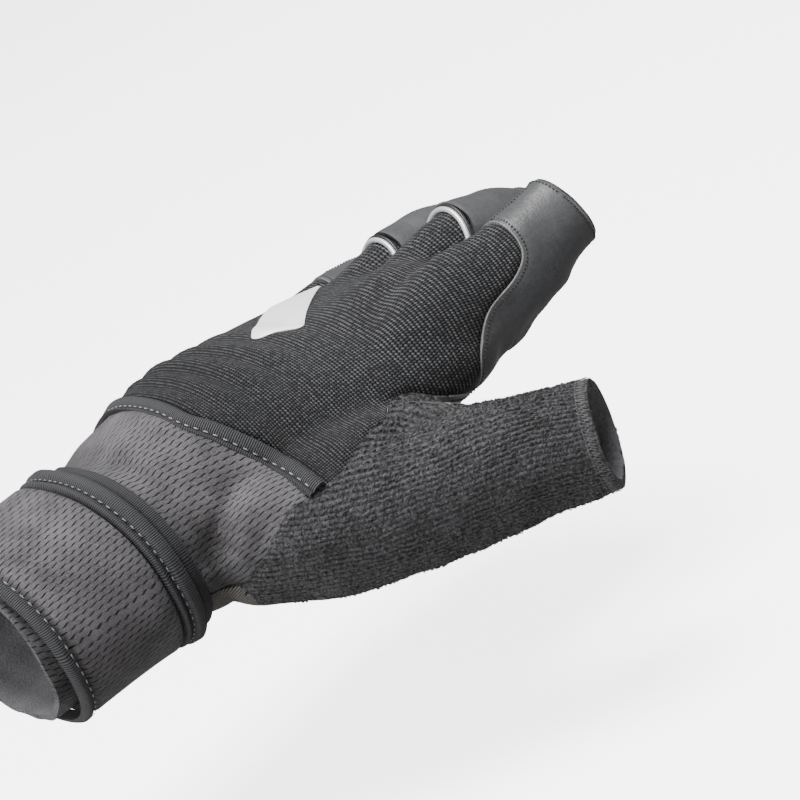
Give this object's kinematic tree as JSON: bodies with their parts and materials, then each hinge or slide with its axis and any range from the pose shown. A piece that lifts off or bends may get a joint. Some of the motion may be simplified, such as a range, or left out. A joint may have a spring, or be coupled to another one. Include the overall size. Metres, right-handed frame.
{
  "type": "left-hand half-finger training glove",
  "caption": "Half-finger training glove for the left hand, hollow and in its worn form, with a towelling thumb, leather fingers with pull loops and a mesh wrist strap.",
  "frame": {"origin": "centre of the wrist opening, where the hand goes in", "axes": "+X from the wrist to the fingertips, +Y to the little finger, +Z out of the back of the hand"},
  "size_m": [0.2042, 0.142, 0.0694],
  "materials": {
    "canvas": "ribbed stretch canvas, charcoal",
    "towelling": "short terry loops, dark grey heather",
    "leather": "fine grain, soft sheen, mid grey",
    "mesh": "knitted mesh with small eyelets, grey",
    "tape": "finely ribbed tape, black",
    "rib_knit": "fine rib knit, grey brown",
    "silver": "silver reflective film"
  },
  "bodies": {
    "root": {"back_panel": "canvas", "thumb_stall": "towelling", "palm_panel": "leather", "heel_rib": "rib_knit", "index_wrap": "leather", "middle_wrap": "leather", "ring_wrap": "leather", "little_wrap": "leather", "middle_pull": "silver", "ring_pull": "silver", "cuff": "mesh", "back_binding": "tape", "wrist_strap": "mesh", "strap_binding": "tape", "strap_edge": "tape", "back_patch": "silver"}
  },
  "joints": []
}
